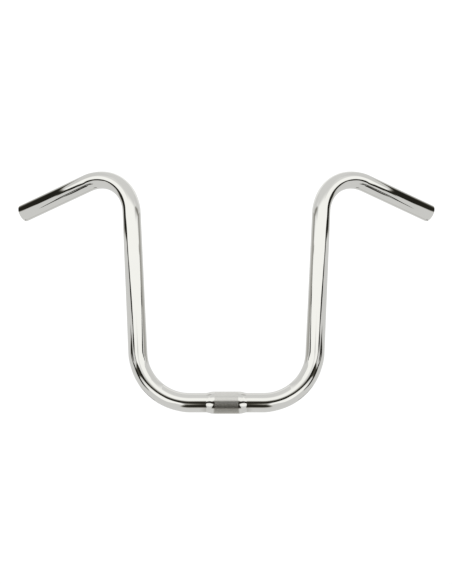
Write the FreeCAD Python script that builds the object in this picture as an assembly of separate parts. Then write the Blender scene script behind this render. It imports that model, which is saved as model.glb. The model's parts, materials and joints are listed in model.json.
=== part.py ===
import FreeCAD
import Part

import math
import os

# High-rise handlebar: one continuous bent steel tube, a clamp sleeve pressed over its middle,
# and a ring of brazing filler at each end of the sleeve that blends it down to the tube.
#
# Frame: the origin is the centre of the clamp sleeve. +X runs along the clamp axis,
# +Z is up and +Y points rearwards, to the rider. The bar is left-right symmetric about X = 0.
# Lengths are millimetres and angles are degrees.

Vector = FreeCAD.Vector

# ---- driving dimensions -------------------------------------------------------------------

TUBE_OD = 22.2            # grip and lever size, 7/8 inch
TUBE_WALL = 1.6
RIM_ROUND = 0.4           # deburred edge on the outside of each cut end
RIM_BEVEL = 0.3           # deburred edge on the inside of each cut end

SLEEVE_OD = 25.4          # stem clamp size, 1 inch
SEAT_LENGTH = 34.2        # part of the sleeve at full diameter
SHOULDER_LENGTH = 2.3     # rounded shoulder beyond the seat, at each end
SHOULDER_DROP = 0.75      # how far the shoulder falls below the seat
BRAZE_LENGTH = 4.0        # concave fillet of filler beyond the shoulder
BRAZE_TOE = 0.05          # thickness of the filler where it feathers out on the tube

# The centreline, from the middle of the clamp outwards.
CLAMP_STRAIGHT = 42.0     # half of the straight run through the clamp
LOWER_BEND_RADIUS = 62.0
LOWER_BEND_ANGLE = 86.0   # 4 degrees short of square, so the uprights spread
UPRIGHT_LENGTH = 176.0
UPPER_BEND_RADIUS = 52.0
UPPER_BEND_ANGLE = 101.3
UPPER_BEND_SWEEP = 24.0   # the upper bend turns this far rearwards of straight outwards
GRIP_LENGTH = 101.0

LEAN = 14.0               # the plane of the uprights leans rearwards by this much

# ---- derived dimensions -------------------------------------------------------------------

TUBE_RADIUS = TUBE_OD / 2
BORE_RADIUS = TUBE_RADIUS - TUBE_WALL
SEAT_RADIUS = SLEEVE_OD / 2
SEAT_HALF = SEAT_LENGTH / 2
SLEEVE_HALF = SEAT_HALF + SHOULDER_LENGTH
SLEEVE_END_RADIUS = SEAT_RADIUS - SHOULDER_DROP
BRAZE_END = SLEEVE_HALF + BRAZE_LENGTH

SIDEWAYS = Vector(1, 0, 0)
LEANING_UP = Vector(0, math.sin(math.radians(LEAN)), math.cos(math.radians(LEAN)))
LEANING_BACK = SIDEWAYS.cross(LEANING_UP) * -1
FULL_TURN = 360


def turn(along, towards, angle):
    """The unit vectors along and towards, both turned by angle within their own plane."""
    c = math.cos(math.radians(angle))
    s = math.sin(math.radians(angle))
    return along * c + towards * s, towards * c - along * s


class Centreline:
    """A chain of tangent lines and arcs, drawn from its last point onwards."""

    def __init__(self, start, direction):
        self.point = start
        self.direction = direction
        self.edges = []

    def straight(self, length):
        end = self.point + self.direction * length
        self.edges.append(Part.makeLine(self.point, end))
        self.point = end

    def bend(self, towards, radius, angle):
        """Turns by angle towards a unit vector square to the direction. Returns that vector, turned."""
        centre = self.point + towards * radius
        halfway = turn(self.direction, towards, angle / 2)[1]
        self.direction, turned = turn(self.direction, towards, angle)
        middle = centre - halfway * radius
        end = centre - turned * radius
        self.edges.append(Part.Arc(self.point, middle, end).toShape())
        self.point = end
        return turned


def half_centreline():
    """The centreline of the +X half, from the middle of the clamp to the cut end."""
    line = Centreline(Vector(0, 0, 0), SIDEWAYS)
    line.straight(CLAMP_STRAIGHT)
    inwards = line.bend(LEANING_UP, LOWER_BEND_RADIUS, LOWER_BEND_ANGLE)
    line.straight(UPRIGHT_LENGTH)
    towards = turn(inwards * -1, LEANING_BACK, UPPER_BEND_SWEEP)[0]
    line.bend(towards, UPPER_BEND_RADIUS, UPPER_BEND_ANGLE)
    line.straight(GRIP_LENGTH)
    return line


def rod_along(line, radius):
    """A solid round rod of one radius that follows a centreline."""
    circle = Part.makeCircle(radius, Vector(0, 0, 0), SIDEWAYS)
    disc = Part.Face(Part.Wire(circle))
    return Part.Wire(line.edges).makePipe(disc)


def rim_edges(shape, line, radius):
    """The round edges of one radius at the cut end of a half tube."""
    found = []
    for edge in shape.Edges:
        curve = edge.Curve
        if isinstance(curve, Part.Circle) and abs(curve.Radius - radius) < 1e-4:
            if curve.Center.distanceToPoint(line.point) < 1e-4:
                found.append(edge)
    return found


def main_tube():
    """The bent tube, hollow from end to end, with deburred rims."""
    line = half_centreline()
    half = rod_along(line, TUBE_RADIUS).cut(rod_along(line, BORE_RADIUS))
    half = half.makeFillet(RIM_ROUND, rim_edges(half, line, TUBE_RADIUS))
    half = half.makeChamfer(RIM_BEVEL, rim_edges(half, line, BORE_RADIUS))
    other_half = half.mirror(Vector(0, 0, 0), SIDEWAYS)
    return half.fuse(other_half).removeSplitter()


def turned_about_clamp_axis(edges):
    """Revolves a closed outline, drawn in the XZ plane with Z as radius, about the X axis."""
    outline = Part.Face(Part.Wire(Part.__sortEdges__(edges)))
    return outline.revolve(Vector(0, 0, 0), SIDEWAYS, FULL_TURN)


def at(x, radius):
    """A point of a turned outline."""
    return Vector(x, 0, radius)


def tangent_arc(level_x, level_radius, end_x, end_radius):
    """An arc that leaves level_x parallel to the clamp axis and ends at end_x."""
    run = end_x - level_x
    drop = end_radius - level_radius
    arc_radius = (run * run + drop * drop) / (2 * abs(drop))
    centre = at(level_x, level_radius + math.copysign(arc_radius, drop))
    half_angle = math.asin(abs(run) / arc_radius) / 2
    middle_x = level_x + math.copysign(arc_radius * math.sin(half_angle), run)
    middle_radius = centre.z - math.copysign(arc_radius * math.cos(half_angle), drop)
    return Part.Arc(
        at(level_x, level_radius), at(middle_x, middle_radius), at(end_x, end_radius)
    ).toShape()


def centre_sleeve():
    """The clamp sleeve: a straight seat with a rounded shoulder at each end."""
    edges = [
        Part.makeLine(at(-SLEEVE_HALF, TUBE_RADIUS), at(SLEEVE_HALF, TUBE_RADIUS)),
        Part.makeLine(at(-SEAT_HALF, SEAT_RADIUS), at(SEAT_HALF, SEAT_RADIUS)),
    ]
    for side in (-1, 1):
        end_x = side * SLEEVE_HALF
        edges.append(tangent_arc(side * SEAT_HALF, SEAT_RADIUS, end_x, SLEEVE_END_RADIUS))
        edges.append(Part.makeLine(at(end_x, SLEEVE_END_RADIUS), at(end_x, TUBE_RADIUS)))
    return turned_about_clamp_axis(edges)


def braze_fillet(side):
    """The ring of filler between one end of the sleeve and the tube, concave outside."""
    near_x = side * SLEEVE_HALF
    far_x = side * BRAZE_END
    toe_radius = TUBE_RADIUS + BRAZE_TOE
    edges = [
        Part.makeLine(at(near_x, TUBE_RADIUS), at(far_x, TUBE_RADIUS)),
        Part.makeLine(at(far_x, TUBE_RADIUS), at(far_x, toe_radius)),
        tangent_arc(far_x, toe_radius, near_x, SLEEVE_END_RADIUS),
        Part.makeLine(at(near_x, SLEEVE_END_RADIUS), at(near_x, TUBE_RADIUS)),
    ]
    return turned_about_clamp_axis(edges)


NODES = {
    "main_tube": main_tube(),
    "centre_sleeve": centre_sleeve(),
    "braze_fillet_right": braze_fillet(1),
    "braze_fillet_left": braze_fillet(-1),
}

os.makedirs("parts", exist_ok=True)
for name, shape in NODES.items():
    shape.exportStep(f"parts/{name}.step")
    print(name, "solids", len(shape.Solids), "valid", shape.isValid(), "mm3", round(shape.Volume))
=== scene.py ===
import json
import math

import bpy
import numpy as np
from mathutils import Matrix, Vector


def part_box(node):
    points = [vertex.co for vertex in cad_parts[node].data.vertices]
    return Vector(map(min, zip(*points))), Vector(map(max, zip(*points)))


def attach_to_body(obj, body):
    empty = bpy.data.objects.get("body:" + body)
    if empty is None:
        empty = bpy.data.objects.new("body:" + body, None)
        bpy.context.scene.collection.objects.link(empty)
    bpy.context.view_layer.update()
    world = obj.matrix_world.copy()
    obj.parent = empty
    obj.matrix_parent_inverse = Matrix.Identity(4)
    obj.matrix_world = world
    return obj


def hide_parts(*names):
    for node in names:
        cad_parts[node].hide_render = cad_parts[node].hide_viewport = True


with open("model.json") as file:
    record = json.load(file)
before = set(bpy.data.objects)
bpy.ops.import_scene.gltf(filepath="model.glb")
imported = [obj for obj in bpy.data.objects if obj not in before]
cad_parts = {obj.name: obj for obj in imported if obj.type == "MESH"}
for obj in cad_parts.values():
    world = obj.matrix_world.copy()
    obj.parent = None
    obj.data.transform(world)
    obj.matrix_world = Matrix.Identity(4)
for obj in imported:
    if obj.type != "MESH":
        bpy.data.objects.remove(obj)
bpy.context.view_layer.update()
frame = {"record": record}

# A chromed high-rise handlebar: one bent tube, a knurled clamp sleeve over its middle and a ring
# of braze at each end of the sleeve. Lengths are metres in the CAD frame: the origin is the
# centre of the sleeve, +X runs along the clamp axis, +Z is up and +Y points to the rider.

MM = 0.001
MICRON = 0.001 * MM
DEG = math.pi / 180
FULL_TURN = 2 * math.pi
X, Y, Z = np.eye(3)

# ---- sizes ----------------------------------------------------------------------------------

mounts = {mount["name"]: mount for mount in frame["record"]["mounts"]}
TUBE_RADIUS = mounts["grip_seat_right"]["dims"]["r_mm"] * MM
BORE_RADIUS = mounts["bar_end_bore_right"]["dims"]["r_mm"] * MM
SEAT_RADIUS = mounts["clamp_seat"]["dims"]["r_mm"] * MM
SLEEVE_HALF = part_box("centre_sleeve")[1].x
BRAZE_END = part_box("braze_fillet_right")[1].x

# The centreline, from the middle of the clamp outwards, as in the CAD source.
CLAMP_STRAIGHT = 42 * MM
LOWER_BEND_RADIUS = 62 * MM
LOWER_BEND_ANGLE = 86 * DEG
UPRIGHT_LENGTH = 176 * MM
UPPER_BEND_RADIUS = 52 * MM
UPPER_BEND_ANGLE = 101.3 * DEG
UPPER_BEND_SWEEP = 24 * DEG
GRIP_LENGTH = 101 * MM
LEAN = 14 * DEG
RIM_ROUND = 0.4 * MM
RIM_BEVEL = 0.3 * MM
RIM_STEPS = 5
WELD_BEAD_HEIGHT = 0.35 * MM   # the seam of the rolled tube, left standing inside the bore
WELD_BEAD_WIDTH = 0.8 * MM

# A drawn bend flattens a little on its outside, less on its inside, and widens between them.
OUTSIDE_FLATTENING = 0.045
INSIDE_FLATTENING = 0.015
SIDE_WIDENING = 0.012
BEND_RAMP = 16 * DEG           # how far into a bend its flattening is complete
LARGEST_MISMATCH = OUTSIDE_FLATTENING * TUBE_RADIUS + 0.1 * MM    # with the CAD tube's box

TUBE_FACETS = 96
STRAIGHT_STEP = 6 * MM
BEND_STEP = 1.5 * DEG
SHARP_FROM = 35 * DEG          # edges that turn further than this aren't shaded smooth

POLISHED_FROM = 13.8 * MM      # the knurl stops here, and the sleeve starts to round off
KNURL_FADE = 0.5 * MM
SHOULDER_DROP = 0.75 * MM
SHOULDER_POWER = 2.3
RIBS = 96
RIB_FACETS = 8
GROOVE_SHARE = 0.22            # of a rib's pitch
GROOVE_DEPTH = 0.07 * MM
RIB_CROWN = 0.008 * MM         # the middle of a rib stands this far above its edges
BRAZE_TOE_RADIUS = TUBE_RADIUS + 0.05 * MM
BRAZE_POWER = 1.485
BRAZE_FACETS = 192
TOE_WANDER = 0.25 * MM         # how unevenly the filler's edge runs round the tube
# The waves in that edge: the share of each, its count round the tube, and how far, in radians,
# it is turned towards the bar's side.
TOE_WAVES = ((0.55, 2, 1), (0.30, 5, 2), (0.15, 9, 0))

# How many rings of points each stretch of a half sleeve, and each ring of filler, is made from.
# Stretches that meet share a ring.
KNURL_RINGS = 12
FADE_RINGS = 5
SHOULDER_RINGS = 17
BRAZE_RINGS = 15


# ---- meshes ---------------------------------------------------------------------------------

def angles_round(facets):
    """The angle at which each facet starts."""
    return np.arange(facets) * FULL_TURN / facets


def add_object(name, data):
    """A new object in the scene, made from its data."""
    made = bpy.data.objects.new(name, data)
    bpy.context.scene.collection.objects.link(made)
    return made


def ring_mesh(name, rings, around, along):
    """A closed mesh through rings of points, the last ring joined to the first.

    The texture map runs round each ring for the length around, and through the rings by along.
    """
    count, facets = rings.shape[:2]
    ring, facet = np.meshgrid(np.arange(count), np.arange(facets), indexing="ij")
    next_ring = (ring + 1) % count
    next_facet = (facet + 1) % facets
    corners = np.stack([
        ring * facets + facet,
        ring * facets + next_facet,
        next_ring * facets + next_facet,
        next_ring * facets + facet,
    ], axis=-1).reshape(-1, 4)
    mesh = bpy.data.meshes.new(name)
    mesh.from_pydata(rings.reshape(-1, 3), [], corners)
    closed_along = np.append(along, 2 * along[-1] - along[-2])
    across = np.stack([facet, facet + 1, facet + 1, facet], axis=-1) * around / facets
    through = closed_along[np.stack([ring, ring, ring + 1, ring + 1], axis=-1)]
    texture_map = mesh.uv_layers.new(name="surface")
    texture_map.data.foreach_set("uv", np.stack([across, through], axis=-1).ravel())
    mesh.shade_smooth()
    mesh.set_sharp_from_angle(angle=SHARP_FROM)
    return add_object(name, mesh)


def distance_along(rings):
    """How far each ring's first point is from the first ring's, along the surface."""
    steps = np.linalg.norm(np.diff(rings[:, 0], axis=0), axis=1)
    return np.concatenate([[0], np.cumsum(steps)])


def attach(piece, node, slot, *materials):
    """The piece takes the place of a CAD node, and gets its finish."""
    for material in materials:
        piece.data.materials.append(material)
    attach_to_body(piece, "root")
    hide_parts(node)
    return piece


# ---- the tube -------------------------------------------------------------------------------

def turn(along, towards, angle):
    """The unit vectors along and towards, both turned by angle within their own plane."""
    c, s = math.cos(angle), math.sin(angle)
    return along * c + towards * s, towards * c - along * s


def smooth(value):
    """0 below 0, 1 above 1, and a smooth rise between them."""
    t = np.clip(value, 0, 1)
    return t * t * (3 - 2 * t)


def marks(length, step):
    """Evenly spaced distances, about a step apart, from the first step to the full length."""
    count = math.ceil(length / step)
    return np.arange(1, count + 1) * length / count


class Section:
    """A cross-section of the bar: its centre, its direction, and the plane across it."""

    def __init__(self, centre, along, across, inwards=None, flattening=0.0):
        self.centre = centre
        self.along = along
        self.across = across            # two unit vectors, square to along
        self.inwards = inwards          # towards the bend's centre
        self.flattening = flattening    # 0 on a straight, 1 well inside a bend

    def ring(self, radius, setback=0.0):
        """Points round the section, set back along the bar. The radius may differ by facet."""
        angles = angles_round(TUBE_FACETS)
        outwards = np.outer(np.cos(angles), self.across[0]) + np.outer(np.sin(angles), self.across[1])
        scale = np.ones(TUBE_FACETS)
        if self.inwards is not None:
            facing = outwards @ self.inwards
            inside = INSIDE_FLATTENING * np.maximum(facing, 0) ** 2
            outside = OUTSIDE_FLATTENING * np.maximum(-facing, 0) ** 2
            scale += self.flattening * (SIDE_WIDENING * (1 - facing**2) - inside - outside)
        return self.centre - self.along * setback + outwards * (radius * scale)[:, None]

    def straight_on(self, length):
        """The sections of a straight run that leaves this one."""
        return [
            Section(self.centre + self.along * distance, self.along, self.across)
            for distance in marks(length, STRAIGHT_STEP)
        ]

    def bend_on(self, towards, radius, angle):
        """The sections of a bend that leaves this one, and towards as it ends up."""
        bend_centre = self.centre + towards * radius
        made = []
        for turned in marks(angle, BEND_STEP):
            along, inwards = turn(self.along, towards, turned)
            across = [v + (v @ towards) * (inwards - towards) for v in self.across]
            ramp = min(turned, angle - turned) / BEND_RAMP
            made.append(Section(bend_centre - inwards * radius, along, across, inwards, smooth(ramp)))
        return made, inwards


def half_bar_sections():
    """The sections of the +X half, from the middle of the clamp to the cut end."""
    leaning_up = Y * math.sin(LEAN) + Z * math.cos(LEAN)
    leaning_back = Y * math.cos(LEAN) - Z * math.sin(LEAN)
    sections = [Section(np.zeros(3), X, [Y, Z])]
    sections += sections[-1].straight_on(CLAMP_STRAIGHT)
    bend, inwards = sections[-1].bend_on(leaning_up, LOWER_BEND_RADIUS, LOWER_BEND_ANGLE)
    sections += bend
    sections += sections[-1].straight_on(UPRIGHT_LENGTH)
    outwards_and_back = turn(-inwards, leaning_back, UPPER_BEND_SWEEP)[0]
    sections += sections[-1].bend_on(outwards_and_back, UPPER_BEND_RADIUS, UPPER_BEND_ANGLE)[0]
    sections += sections[-1].straight_on(GRIP_LENGTH)
    return sections


def bore_radii():
    """The bore's radius at each facet, with the bead of the seam weld."""
    from_seam = BORE_RADIUS * (angles_round(TUBE_FACETS) - math.pi)
    return BORE_RADIUS - WELD_BEAD_HEIGHT * np.exp(-((from_seam / WELD_BEAD_WIDTH) ** 2))


def whole_run(half):
    """Rings from the middle to the +X end, joined to their mirror image: -X end to +X end."""
    half = np.array(half)
    mirrored = half[:0:-1] * np.array([-1, 1, 1])
    return np.concatenate([mirrored, half])


def tube(chrome, steel):
    """The bent tube: outer skin, deburred rims and bore, as one closed surface."""
    *sections, last = half_bar_sections()
    bore = bore_radii()
    skin = [section.ring(TUBE_RADIUS) for section in sections]
    for turned in np.linspace(0, FULL_TURN / 4, RIM_STEPS):
        setback = RIM_ROUND * (1 - math.sin(turned))
        skin.append(last.ring(TUBE_RADIUS - RIM_ROUND * (1 - math.cos(turned)), setback))
    inside = [section.ring(bore) for section in sections]
    inside += [last.ring(bore, RIM_BEVEL), last.ring(bore + RIM_BEVEL)]
    outer_rings = whole_run(skin)
    rings = np.concatenate([outer_rings, whole_run(inside)[::-1]])
    made = ring_mesh("bent_tube", rings, FULL_TURN * TUBE_RADIUS, distance_along(rings))
    in_bore = np.arange(len(rings)) >= len(outer_rings)
    made.data.polygons.foreach_set("material_index", np.repeat(in_bore, TUBE_FACETS).astype(np.int32))
    return attach(made, "main_tube", "tube_chrome", chrome, steel)


# ---- the sleeve and its braze rings ---------------------------------------------------------

def turned_ring(x, radii):
    """A ring of points round the clamp axis. The radius, and x, may differ from facet to facet."""
    angles = angles_round(len(radii))
    return np.stack([x + 0 * radii, radii * np.cos(angles), radii * np.sin(angles)], axis=-1)


def sleeve_radius(x):
    """The sleeve's smooth outline: a straight seat with a rounded shoulder at each end."""
    into_shoulder = np.clip((abs(x) - POLISHED_FROM) / (SLEEVE_HALF - POLISHED_FROM), 0, 1)
    return SEAT_RADIUS - SHOULDER_DROP * into_shoulder**SHOULDER_POWER


def rib_outline():
    """(depth below the seat, how far down the groove from 0 to 1) at each facet."""
    phase = np.arange(RIBS * RIB_FACETS) / RIB_FACETS % 1
    from_groove = np.minimum(phase, 1 - phase)
    down = np.clip(1 - from_groove / (GROOVE_SHARE / 2), 0, 1)
    from_middle = np.abs(phase - 0.5) / (0.5 - GROOVE_SHARE / 2)
    return GROOVE_DEPTH * down + RIB_CROWN * np.minimum(from_middle, 1) ** 2, down


def sleeve(finish):
    """The clamp sleeve, ribbed along its seat and smooth at its shoulders."""
    depth, down = rib_outline()
    knurl = np.linspace(0, POLISHED_FROM - KNURL_FADE, KNURL_RINGS)
    fade = POLISHED_FROM - KNURL_FADE * np.linspace(1, 0, FADE_RINGS)[1:]
    shoulder = POLISHED_FROM + (SLEEVE_HALF - POLISHED_FROM) * np.linspace(0, 1, SHOULDER_RINGS)[1:]
    half = np.concatenate([knurl, fade, shoulder])
    stations = np.concatenate([-half[::-1], half[1:]])
    rings, grooves = [], []
    for x in stations:
        cut = 1 - smooth((abs(x) - POLISHED_FROM + KNURL_FADE) / KNURL_FADE)
        rings.append(turned_ring(x, sleeve_radius(x) - cut * depth))
        grooves.append(cut * down)
    for x in (SLEEVE_HALF, 0, -SLEEVE_HALF):
        rings.append(turned_ring(x, np.full(len(depth), TUBE_RADIUS)))
        grooves.append(0 * down)
    rings = np.array(rings)
    made = ring_mesh("clamp_sleeve", rings, FULL_TURN * SEAT_RADIUS, distance_along(rings))
    groove = made.data.attributes.new("groove", "FLOAT", "POINT")
    groove.data.foreach_set("value", np.concatenate(grooves))
    return attach(made, "centre_sleeve", "sleeve_chrome", finish)


def braze_reach(side):
    """How far the filler runs along the tube from the sleeve's end, at each facet."""
    angles = angles_round(BRAZE_FACETS)
    wander = sum(share * np.cos(count * angles + turned * side) for share, count, turned in TOE_WAVES)
    return BRAZE_END - SLEEVE_HALF - TOE_WANDER * (1 + wander) / 2


def braze_ring(side, name, node, finish):
    """The concave ring of filler between one end of the sleeve and the tube."""
    reach = braze_reach(side)
    climb = sleeve_radius(SLEEVE_HALF) - BRAZE_TOE_RADIUS
    outline = [
        (part, BRAZE_TOE_RADIUS + climb * (1 - part) ** BRAZE_POWER)
        for part in np.linspace(0, 1, BRAZE_RINGS)
    ]
    outline += [(1, TUBE_RADIUS), (0, TUBE_RADIUS)]
    rings = np.array([
        turned_ring(side * (SLEEVE_HALF + part * reach), np.full(BRAZE_FACETS, radius))
        for part, radius in outline[::side]
    ])
    made = ring_mesh(name, rings, FULL_TURN * TUBE_RADIUS, distance_along(rings))
    return attach(made, node, "braze_chrome", finish)


# ---- materials ------------------------------------------------------------------------------

CHROME = (0.80, 0.797, 0.765)
# The colour of the knurl's grooves is darker: grime and painted shade.
GROOVE_GRIME_AND_SHADE = (0.50, 0.48, 0.44)
DRAWN_STEEL = (0.42, 0.40, 0.37)
STAINED_STEEL = (0.27, 0.22, 0.17)


class Shader:
    """The nodes of one material."""

    def __init__(self, name):
        self.material = bpy.data.materials.new(name)
        self.material.use_nodes = True
        self.tree = self.material.node_tree
        self.tree.nodes.clear()

    def node(self, kind, inputs=None, **settings):
        """A new node. Each input is either a fixed value or another node's output."""
        made = self.tree.nodes.new(kind)
        for name, value in settings.items():
            setattr(made, name, value)
        for name, value in (inputs or {}).items():
            if isinstance(value, bpy.types.NodeSocket):
                self.tree.links.new(value, made.inputs[name])
            else:
                made.inputs[name].default_value = value
        return made

    def surface_place(self, around, along):
        """The surface's own coordinates, stretched: a larger factor makes finer detail."""
        place = self.node("ShaderNodeUVMap", uv_map="surface").outputs["UV"]
        return self.node(
            "ShaderNodeMapping", {"Vector": place, "Scale": (around, along, 1)}
        ).outputs["Vector"]

    def solid_place(self):
        """The object's own coordinates, in metres."""
        return self.node("ShaderNodeTexCoord").outputs["Object"]

    def noise(self, place, scale=1.0, detail=2.0, roughness=0.5):
        return self.node("ShaderNodeTexNoise", {
            "Vector": place, "Scale": scale, "Detail": detail, "Roughness": roughness,
        }).outputs["Fac"]

    def fit(self, value, given, wanted=(0, 1)):
        """value, moved from the given range into the wanted one, and kept within it."""
        return self.node("ShaderNodeMapRange", {
            "Value": value,
            "From Min": given[0], "From Max": given[1],
            "To Min": wanted[0], "To Max": wanted[1],
        }).outputs["Result"]

    def add(self, first, second):
        return self.node("ShaderNodeMath", {0: first, 1: second}, operation="ADD").outputs[0]

    def blend(self, share, first, second):
        """The first colour where share is 0, and the second where it is 1."""
        mix = self.node("ShaderNodeMix", {"Factor": share}, data_type="RGBA")
        for socket, value in (("A_Color", first), ("B_Color", second)):
            target = next(s for s in mix.inputs if s.identifier == socket)
            if isinstance(value, bpy.types.NodeSocket):
                self.tree.links.new(value, target)
            else:
                target.default_value = (*value, 1)
        return next(s for s in mix.outputs if s.identifier == "Result_Color")

    def bump(self, height, depth, under=None):
        """The surface's direction, with relief of this depth over what is already under it."""
        inputs = {"Height": height, "Distance": depth, "Strength": 1.0}
        if under is not None:
            inputs["Normal"] = under
        return self.node("ShaderNodeBump", inputs).outputs["Normal"]

    def metal(self, colour, roughness, normal):
        surface = self.node("ShaderNodeBsdfPrincipled", {
            "Metallic": 1.0, "Base Color": colour, "Roughness": roughness, "Normal": normal,
        })
        self.node("ShaderNodeOutputMaterial", {"Surface": surface.outputs["BSDF"]})
        return self.material


def darker(colour, share):
    """The colour, with only this share of its brightness."""
    return tuple(channel * share for channel in colour)


def polished_chrome():
    """Bright plate: a faint orange peel, polishing lines round the tube and a trace of haze."""
    shader = Shader("polished_chrome")
    solid = shader.solid_place()
    haze = shader.noise(solid, scale=30, detail=4)
    polish_lines = shader.noise(shader.surface_place(around=60, along=5000), detail=3)
    peel = shader.noise(solid, scale=420)
    colour = shader.blend(shader.fit(haze, (0.35, 0.75)), CHROME, darker(CHROME, 0.985))
    hazy = shader.fit(haze, (0.4, 0.8), (0.018, 0.05))
    brushed = shader.fit(polish_lines, (0.55, 0.8), (0, 0.03))
    peeled = shader.bump(peel, depth=3 * MICRON)
    lined = shader.bump(polish_lines, depth=0.04 * MICRON, under=peeled)
    return shader.metal(colour, shader.add(hazy, brushed), lined)


def braze_chrome():
    """Plate over filed filler: a little duller than the tube, and gently lumpy."""
    shader = Shader("braze_chrome")
    lumps = shader.noise(shader.solid_place(), scale=260, detail=3)
    file_marks = shader.noise(shader.surface_place(around=80, along=2600), detail=2)
    colour = shader.blend(shader.fit(lumps, (0.4, 0.7)), CHROME, darker(CHROME, 0.94))
    roughness = shader.fit(lumps, (0.3, 0.7), (0.06, 0.12))
    lumpy = shader.bump(lumps, depth=20 * MICRON)
    filed = shader.bump(file_marks, depth=0.2 * MICRON, under=lumpy)
    return shader.metal(colour, roughness, filed)


def knurled_chrome():
    """Plate over ribs: bright lands, dull grooves with grime and painted shade, and polished shoulders.
    """
    shader = Shader("knurled_chrome")
    groove = shader.node("ShaderNodeAttribute", attribute_name="groove").outputs["Fac"]
    haze = shader.noise(shader.solid_place(), scale=60, detail=4)
    nicks = shader.noise(shader.surface_place(around=900, along=250), detail=3)
    # The darker colour in the grooves is grime and painted shade.
    grime_and_shade = shader.fit(groove, (0.15, 0.9))
    land = shader.blend(shader.fit(haze, (0.35, 0.7)), CHROME, darker(CHROME, 0.96))
    colour = shader.blend(grime_and_shade, land, GROOVE_GRIME_AND_SHADE)
    hazy = shader.fit(haze, (0.4, 0.8), (0.03, 0.07))
    roughness = shader.add(hazy, shader.fit(grime_and_shade, (0, 1), (0, 0.25)))
    return shader.metal(colour, roughness, shader.bump(nicks, depth=2 * MICRON))


def bore_steel():
    """The unplated inside of the tube: drawn steel, dull and slightly stained."""
    shader = Shader("bore_steel")
    stain = shader.noise(shader.solid_place(), scale=90, detail=5, roughness=0.6)
    draw_lines = shader.noise(shader.surface_place(around=3000, along=40), detail=2)
    colour = shader.blend(shader.fit(stain, (0.4, 0.7)), DRAWN_STEEL, STAINED_STEEL)
    roughness = shader.fit(stain, (0.3, 0.7), (0.38, 0.6))
    return shader.metal(colour, roughness, shader.bump(draw_lines, depth=10 * MICRON))


# ---- studio ---------------------------------------------------------------------------------

# Chrome shows nothing but its surroundings. The studio is a box of pale screens close round the
# bar, lit from above the camera, with dark gaps: the opening for the camera, the seams between
# screens and the floor in front. Only reflections see it. Brightness is as seen in the chrome,
# from 0 to 1 on the display's scale.

SIDE_SCREEN = 0.32
FRONT_SCREEN = -0.90
BACK_SCREEN = 0.45
CEILING = 0.70
GROUND = -0.45
SCREEN_STEP = 5 * MM
INNER_CARD = 0.07
INNER_CARD_LEAN = 0.25         # rearwards per unit of height, about as the uprights lean

WHITE = 0.952
SHADED_WHITE = 0.83
LIGHT_GREY = 0.80
GREY = 0.785
LINE_GREY = 0.45
DARK = 0.13
DARK_TINT = (1.0, 0.93, 0.74)  # dark parts look warm, and bright ones nearly neutral
WHITE_TINT = (1.0, 1.0, 0.99)

SURROUNDING_LIGHT = 1.1
FLOOR_WHITE = (0.96, 0.96, 0.96, 1)
FLOOR_DROP = 0.35
FLOOR_REACH = 12

CAMERA_PLACE = (0, -0.95, 0.1279)
CAMERA_SENSOR = 36             # this and the lens are in millimetres
CAMERA_LENS = 50.66
CAMERA_SHIFT = -0.0007

SEAM_EDGE = 0.010              # over which a seam fades out
# The seams of a side screen: (y, z) points along each, and half its width.
SIDE_SEAMS = (
    (((-0.145, -0.105), (-0.115, -0.06)), 0.018),
    (((-0.115, -0.06), (-0.108, -0.02), (-0.10, 0.012)), 0.038),
    (((-0.10, 0.012), (-0.045, 0.052), (-0.005, 0.078)), 0.010),
    (((-0.005, 0.078), (-0.035, 0.098)), 0.010),
    (((-0.105, 0.094), (-0.075, 0.102)), 0.022),
    (((-0.075, 0.102), (-0.045, 0.116)), 0.012),
    (((-0.17, 0.152), (-0.21, 0.180), (-0.24, 0.200)), 0.008),
    (((-0.42, 0.165), (-0.30, 0.185), (-0.24, 0.200)), 0.014),
    (((-0.24, 0.200), (-0.19, 0.212), (-0.12, 0.214), (-0.09, 0.222)), 0.024),
    (((-0.09, 0.222), (-0.05, 0.236)), 0.014),
    (((0.04, 0.258), (0.0, 0.270), (-0.02, 0.268)), 0.010),
    (((-0.02, 0.268), (-0.05, 0.245), (-0.01, 0.247)), 0.007),
)


def rise(values, start, end):
    """0 before start, 1 after end, and a smooth rise between them."""
    return smooth((values - start) / (end - start))


def fall(values, start, end):
    """1 before start, 0 after end, and a smooth fall between them."""
    return 1 - rise(values, start, end)


def band(values, centre, half, soft):
    """1 within half of centre, fading to 0 over soft."""
    return fall(np.abs(values - centre), half, half + soft)


def beyond(a, b, start, end, soft):
    """1 to the left of the line from start to end, on a screen with coordinates a and b."""
    run, climb = end[0] - start[0], end[1] - start[1]
    aside = (run * (b - start[1]) - climb * (a - start[0])) / math.hypot(run, climb)
    return rise(aside, -soft, soft)


def streak(a, b, start, end, half, soft):
    """1 within half of the straight stroke from start to end, fading to 0 over soft."""
    run, climb = end[0] - start[0], end[1] - start[1]
    share = ((a - start[0]) * run + (b - start[1]) * climb) / (run**2 + climb**2)
    share = np.clip(share, 0, 1)
    away = np.hypot(a - start[0] - share * run, b - start[1] - share * climb)
    return fall(away, half, half + soft)


def paint(level, share, value):
    """level, covered by value as far as share goes from 0 to 1."""
    return level * (1 - share) + value * share


# Each of these six gives the share of a side screen that one card, gap or shadow covers.

def key_card(y, z):
    """The white card, high and in front."""
    share = beyond(y, z, (0.04, 0.30), (-0.03, 0.65), 0.012)
    share *= beyond(y, z, (0.0, 0.262), (0.07, 0.335), 0.01)
    return share * beyond(y, z, (-0.60, 0.24), (-0.07, 0.19), 0.025)


def key_card_shade(y, z):
    """The key card's upper rear part, which is less bright."""
    return key_card(y, z) * (1 - beyond(y, z, (-0.05, 0.44), (-0.31, 0.595), 0.03))


def fill_card(y, z):
    """The white card below the camera's height. Its lower edge climbs towards the bar."""
    edge = np.interp(y, (-0.80, -0.44, -0.33, -0.22, -0.18), (-0.44, -0.34, -0.25, -0.10, 0.06))
    return rise(z, edge - 0.03, edge + 0.03) * fall(z, -0.04, 0.01)


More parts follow.
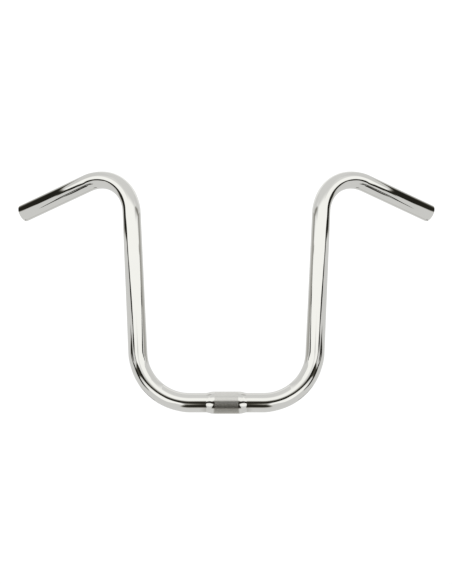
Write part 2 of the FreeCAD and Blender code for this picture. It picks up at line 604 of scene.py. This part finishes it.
def side_opening(y, z):
    """The dark opening for the camera, seen from the side. It narrows towards the bar."""
    stations = (-0.90, -0.50, -0.28, -0.19, -0.12)
    middle = np.interp(y, stations, (0.175, 0.13, 0.078, 0.036, 0.0))
    half = np.interp(y, stations, (0.17, 0.085, 0.034, 0.016, 0.018))
    share = fall(np.abs(z - middle), half, half + 0.022)
    share *= np.interp(y, (-0.36, -0.27, -0.20, -0.14), (1.0, 0.80, 0.74, 1.0))
    return share * fall(y, -0.13, -0.10)


def dark_flag(y, z):
    """A dark wedge beside the tops of the uprights, which fades out rearwards."""
    share = 1 - beyond(y, z, (0.0, 0.281), (0.10, 0.363), 0.006)
    share *= beyond(y, z, (-0.04, 0.258), (0.135, 0.236), 0.008)
    share *= rise(y, -0.01, 0.025)
    return share * fall(y, 0.11, 0.21)


def rear_corner(y, z):
    """The dark corner behind, which only the back of the bar sees."""
    return rise(y, 0.33, 0.36) * band(z, -0.23, 0.07, 0.03)


def side_screen(y, z):
    level = np.full(y.shape, GREY)
    level = paint(level, key_card(y, z), WHITE)
    level = paint(level, key_card_shade(y, z), SHADED_WHITE)
    level = paint(level, fill_card(y, z), WHITE)
    level = paint(level, side_opening(y, z), DARK)
    for points, half in SIDE_SEAMS:
        for start, end in zip(points, points[1:]):
            level = paint(level, streak(y, z, start, end, half, SEAM_EDGE), DARK)
    level = paint(level, dark_flag(y, z), DARK)
    return paint(level, rear_corner(y, z), DARK)


def front_screen(x, z):
    """White, with the shaded floor low down and the dark opening for the camera."""
    side = np.abs(x)
    near_floor = fall(side, 0.10, 0.18)
    shade = np.interp(side, (0.05, 0.09), (0.25, 0.58))
    opening = rise(z, 0.2 * side - 0.14, 0.2 * side - 0.06) * fall(z, 0.16, 0.62 - 0.7 * side)
    level = np.full(x.shape, WHITE)
    level = paint(level, near_floor * fall(z, -0.12, -0.06), shade)
    level = paint(level, near_floor * fall(z, -0.42, -0.24), DARK)
    return paint(level, opening, DARK)


def ceiling(x, y):
    """Light grey, and white above the camera."""
    return paint(np.full(x.shape, LIGHT_GREY), fall(y, -0.50, -0.22), WHITE)


def ground(x, y):
    """Grey, a little darker under the clamp, with a dark strip in front."""
    strip = fall(np.abs(x), 0.14, 0.20) * fall(y, -0.50, -0.22)
    return paint(np.interp(np.abs(x), (0.025, 0.045), (0.62, GREY)), strip, DARK)


def back_screen(x, z):
    """Seen almost only from behind: a darker band low down, and lighter towards the top."""
    return np.interp(z, (-0.36, -0.24, -0.08, 0.16, 0.42, 0.70), (GREY, 0.68, GREY, GREY, 0.86, 0.92))


def inner_card(behind, z):
    """A card inside each upright, paler rearwards, with a thin line near its front edge."""
    level = np.interp(behind, (0.0, 0.012, 0.022, 0.032), (0.63, 0.66, 0.74, 0.80)) + 0 * z
    line = np.interp(z, (0.06, 0.19, 0.235), (0.60, 0.54, 0.32))
    return paint(level, band(behind, -0.004, 0.002, 0.002), line)


def low_card(behind, z):
    """A card inside each lower bend: grey, and white in its lower front corner."""
    corner = beyond(behind, z, (-0.012, 0.024), (-0.027, 0.042), 0.006)
    return paint(np.full(z.shape, GREY), corner, WHITE)


def high_card(behind, z):
    """A card inside each upper bend: grey, white in its lower front corner, with a thin line."""
    corner = beyond(behind, z, (-0.020, 0.236), (-0.050, 0.250), 0.008)
    line = streak(behind, z, (-0.004, 0.236), (-0.035, 0.258), 0.002, 0.004)
    return paint(paint(np.full(z.shape, GREY), corner, WHITE), line, LINE_GREY)


# The inner cards, which only the insides of the uprights and bends see: name, how far outwards,
# extent behind the bar's plane, extent in height, and painting.
INNER_CARDS = (
    ("card_upright", 0.0, (-0.008, 0.08), (0.055, 0.237), inner_card),
    ("card_low", 0.002, (-0.026, 0.0), (0.022, 0.060), low_card),
    ("card_high", 0.002, (-0.050, 0.0), (0.236, 0.262), high_card),
)


def glow(level):
    """The light that a screen gives off, so that the chrome shows it at this level."""
    level = np.clip(level, 0, 1)
    tint = np.stack([
        np.interp(level, (DARK, GREY, WHITE), (dark, 1.0, white))
        for dark, white in zip(DARK_TINT, WHITE_TINT)
    ], axis=-1)
    linear = ((level + 0.055) / 1.055) ** 2.4    # undoes the display's own curve
    return linear[..., None] * tint / CHROME[0]


def screen_material():
    shader = Shader("screen")
    light = shader.node("ShaderNodeAttribute", attribute_name="glow").outputs["Color"]
    emission = shader.node("ShaderNodeEmission", {"Color": light, "Strength": 1.0})
    shader.node("ShaderNodeOutputMaterial", {"Surface": emission.outputs["Emission"]})
    shader.material.cycles.emission_sampling = "NONE"
    return shader.material


def fine_grid(low, high):
    """Evenly spaced places from low to high, close enough together for the painting."""
    return np.linspace(low, high, 1 + math.ceil((high - low) / SCREEN_STEP))


def screen(name, place, first, second, levels, material):
    """A flat screen. place turns its two coordinates into points, and levels into brightness."""
    a, b = np.meshgrid(fine_grid(*first), fine_grid(*second), indexing="ij")
    points = np.stack(place(a, b), axis=-1).reshape(-1, 3)
    rows, columns = a.shape
    index = np.arange(rows * columns).reshape(rows, columns)
    corners = np.stack([index[:-1, :-1], index[1:, :-1], index[1:, 1:], index[:-1, 1:]], axis=-1)
    mesh = bpy.data.meshes.new(name)
    mesh.from_pydata(points, [], corners.reshape(-1, 4))
    colours = np.ones((rows * columns, 4))
    colours[:, :3] = glow(levels(a, b)).reshape(-1, 3)
    mesh.color_attributes.new("glow", "FLOAT_COLOR", "POINT").data.foreach_set("color", colours.ravel())
    mesh.materials.append(material)
    made = add_object(name, mesh)
    made.visible_camera = False
    made.visible_diffuse = False
    made.visible_transmission = False
    made.visible_volume_scatter = False
    made.visible_shadow = False


def screen_box(material):
    """The six screens round the bar."""
    width = (-SIDE_SCREEN, SIDE_SCREEN)
    depth = (FRONT_SCREEN, BACK_SCREEN)
    height = (GROUND, CEILING)
    for name, x in (("screen_left", -SIDE_SCREEN), ("screen_right", SIDE_SCREEN)):
        screen(name, lambda y, z, x=x: (x + 0 * y, y, z), depth, height, side_screen, material)
    for name, y, levels in (
        ("screen_front", FRONT_SCREEN, front_screen), ("screen_back", BACK_SCREEN, back_screen)
    ):
        screen(name, lambda x, z, y=y: (x, y + 0 * x, z), width, height, levels, material)
    for name, z, levels in (("screen_top", CEILING, ceiling), ("screen_bottom", GROUND, ground)):
        screen(name, lambda x, y, z=z: (x, y, z + 0 * x), width, depth, levels, material)


def inner_cards(side, material):
    """The cards beside one upright and its bends, leaning rearwards as they do."""
    for name, offset, first, second, levels in INNER_CARDS:
        x = side * (INNER_CARD + offset)
        screen(
            f"{name}_{'left' if side < 0 else 'right'}",
            lambda behind, z, x=x: (x + 0 * z, behind + INNER_CARD_LEAN * z, z),
            first, second, levels, material,
        )


def pale_floor():
    """A plain pale floor, well below the bar."""
    shader = Shader("pale_floor")
    surface = shader.node("ShaderNodeBsdfDiffuse", {"Color": FLOOR_WHITE})
    shader.node("ShaderNodeOutputMaterial", {"Surface": surface.outputs["BSDF"]})
    mesh = bpy.data.meshes.new("floor")
    square = ((-1, -1), (1, -1), (1, 1), (-1, 1))
    corners = [(x * FLOOR_REACH, y * FLOOR_REACH, -FLOOR_DROP) for x, y in square]
    mesh.from_pydata(corners, [], [(0, 1, 2, 3)])
    mesh.materials.append(shader.material)
    made = add_object("floor", mesh)
    made.visible_glossy = False


def white_surroundings():
    """White light from everywhere, and colours shown as they are."""
    world = bpy.data.worlds.new("white")
    world.use_nodes = True
    background = world.node_tree.nodes["Background"]
    background.inputs["Color"].default_value = (1, 1, 1, 1)
    background.inputs["Strength"].default_value = SURROUNDING_LIGHT
    bpy.context.scene.world = world
    bpy.context.scene.view_settings.view_transform = "Standard"
    bpy.context.scene.view_settings.look = "None"


def studio():
    material = screen_material()
    screen_box(material)
    for side in (-1, 1):
        inner_cards(side, material)
    pale_floor()
    white_surroundings()


def camera():
    """Level, straight ahead of the bar and a little below its middle."""
    made = add_object("camera", bpy.data.cameras.new("camera"))
    made.location = CAMERA_PLACE
    made.rotation_euler = (90 * DEG, 0, 0)
    made.data.sensor_width = CAMERA_SENSOR
    made.data.lens = CAMERA_LENS
    made.data.shift_x = CAMERA_SHIFT
    bpy.context.scene.camera = made


# ---- the scene ------------------------------------------------------------------------------

def check_against_cad(piece, node):
    """Stops the script if a piece's box differs from its CAD node's by more than the flattening."""
    corners = [tuple(corner) for corner in piece.bound_box]
    lowest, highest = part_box(node)
    off = np.abs([np.min(corners, axis=0) - lowest, np.max(corners, axis=0) - highest]).max()
    if off > LARGEST_MISMATCH:
        raise ValueError(f"{piece.name} is {off / MM:.2f} mm off the CAD")


bent_tube = tube(polished_chrome(), bore_steel())
sleeve(knurled_chrome())
braze = braze_chrome()
braze_ring(1, "braze_ring_right", "braze_fillet_right", braze)
braze_ring(-1, "braze_ring_left", "braze_fillet_left", braze)
check_against_cad(bent_tube, "main_tube")

studio()
camera()
